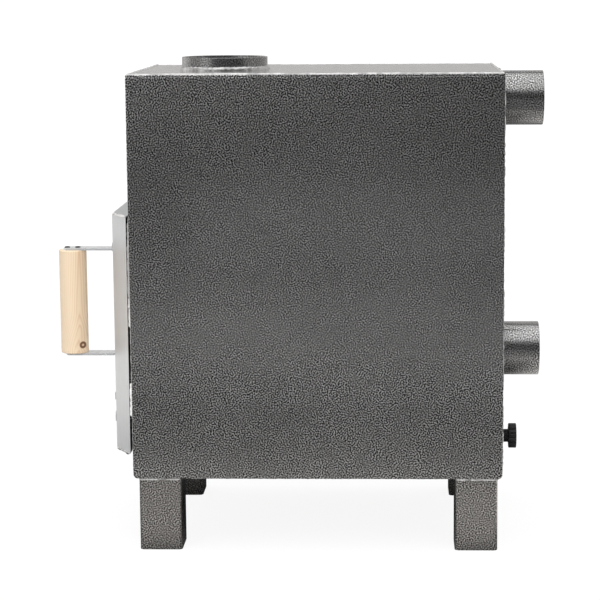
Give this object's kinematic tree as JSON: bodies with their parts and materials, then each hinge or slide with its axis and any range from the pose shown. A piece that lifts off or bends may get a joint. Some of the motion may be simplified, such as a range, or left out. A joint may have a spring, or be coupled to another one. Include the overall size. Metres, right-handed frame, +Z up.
{
  "type": "hot tub stove",
  "caption": "Upright wood-fired water heater on square legs, with a hinged steel door, wooden pull handle, flue collar on top and water pipes at the back.",
  "frame": {"origin": "middle of the bounding box's underside, on the floor between the legs", "axes": "+X from the door towards the water pipes, +Y across the body away from the side that the picture shows, +Z up"},
  "size_m": [0.6722, 0.36, 0.663],
  "materials": {
    "hammered_paint": "dark grey hammered paint, half gloss",
    "fire_steel": "bare hot-rolled plate, dark and matt",
    "cast_iron": "as cast, matt",
    "stainless": "brushed satin",
    "plain_steel": "mill finish, lightly worn",
    "black_steel": "blackened, satin",
    "pine": "planed softwood, bare",
    "seal_rope": "braided glass fibre",
    "black_plastic": "moulded, satin",
    "black_rubber": "matt"
  },
  "bodies": {
    "stove": {"jacket_wrap": "hammered_paint", "side_plate_near": "hammered_paint", "side_plate_far": "hammered_paint", "top_plate": "hammered_paint", "leg_front_near": "hammered_paint", "leg_front_far": "hammered_paint", "leg_rear_near": "hammered_paint", "leg_rear_far": "hammered_paint", "leg_welds": "hammered_paint", "firebox_shell": "fire_steel", "firebox_back": "fire_steel", "baffle_plate": "fire_steel", "baffle_rails": "fire_steel", "grate": "cast_iron", "grate_rails": "fire_steel", "flue_tube": "hammered_paint", "flue_weld": "hammered_paint", "water_outlet": "hammered_paint", "water_inlet": "hammered_paint", "drain_socket": "plain_steel", "door_frame": "hammered_paint", "hinge_bracket_lower": "hammered_paint", "hinge_bracket_upper": "hammered_paint", "hinge_pin_lower": "plain_steel", "hinge_pin_upper": "plain_steel", "catch_clip": "black_steel"},
    "door": {"door_leaf": "fire_steel", "seal_keepers": "fire_steel", "rope_seal": "seal_rope", "door_cover": "stainless", "cover_spacers": "plain_steel", "cover_screws": "stainless", "hinge_strap_lower": "plain_steel", "hinge_strap_upper": "plain_steel", "catch_tongue": "plain_steel", "slide_rails": "stainless", "handle_bracket": "stainless", "handle_bolts": "plain_steel", "handle_grip": "pine", "grip_screws": "black_steel"},
    "air_slide": {"air_slide": "stainless"},
    "drain_seal": {"drain_seal": "black_rubber"},
    "drain_plug": {"drain_plug": "black_plastic"}
  },
  "joints": [
    {"name": "door_hinge", "type": "hinge", "parent": "stove", "child": "door", "pos_m": [-0.2466, 0.171, 0.2925], "axis": [0, 0, -1], "range_deg": [0, 110]},
    {"name": "air_slide_travel", "type": "slide", "parent": "door", "child": "air_slide", "axis": [0, 1, 0], "range_m": [0, 0.0225]},
    {"name": "drain_travel", "type": "slide", "parent": "stove", "child": "drain_seal", "axis": [1, 0, 0], "range_m": [0, 0.00726]},
    {"name": "drain_turn", "type": "hinge", "parent": "drain_seal", "child": "drain_plug", "pos_m": [0.27415, 0, 0.12], "axis": [1, 0, 0], "range_deg": [0, 1440]}
  ],
  "couplings": [
    {"joint": "drain_travel", "follows": "drain_turn", "m_per_rad": 0.00028871}
  ]
}
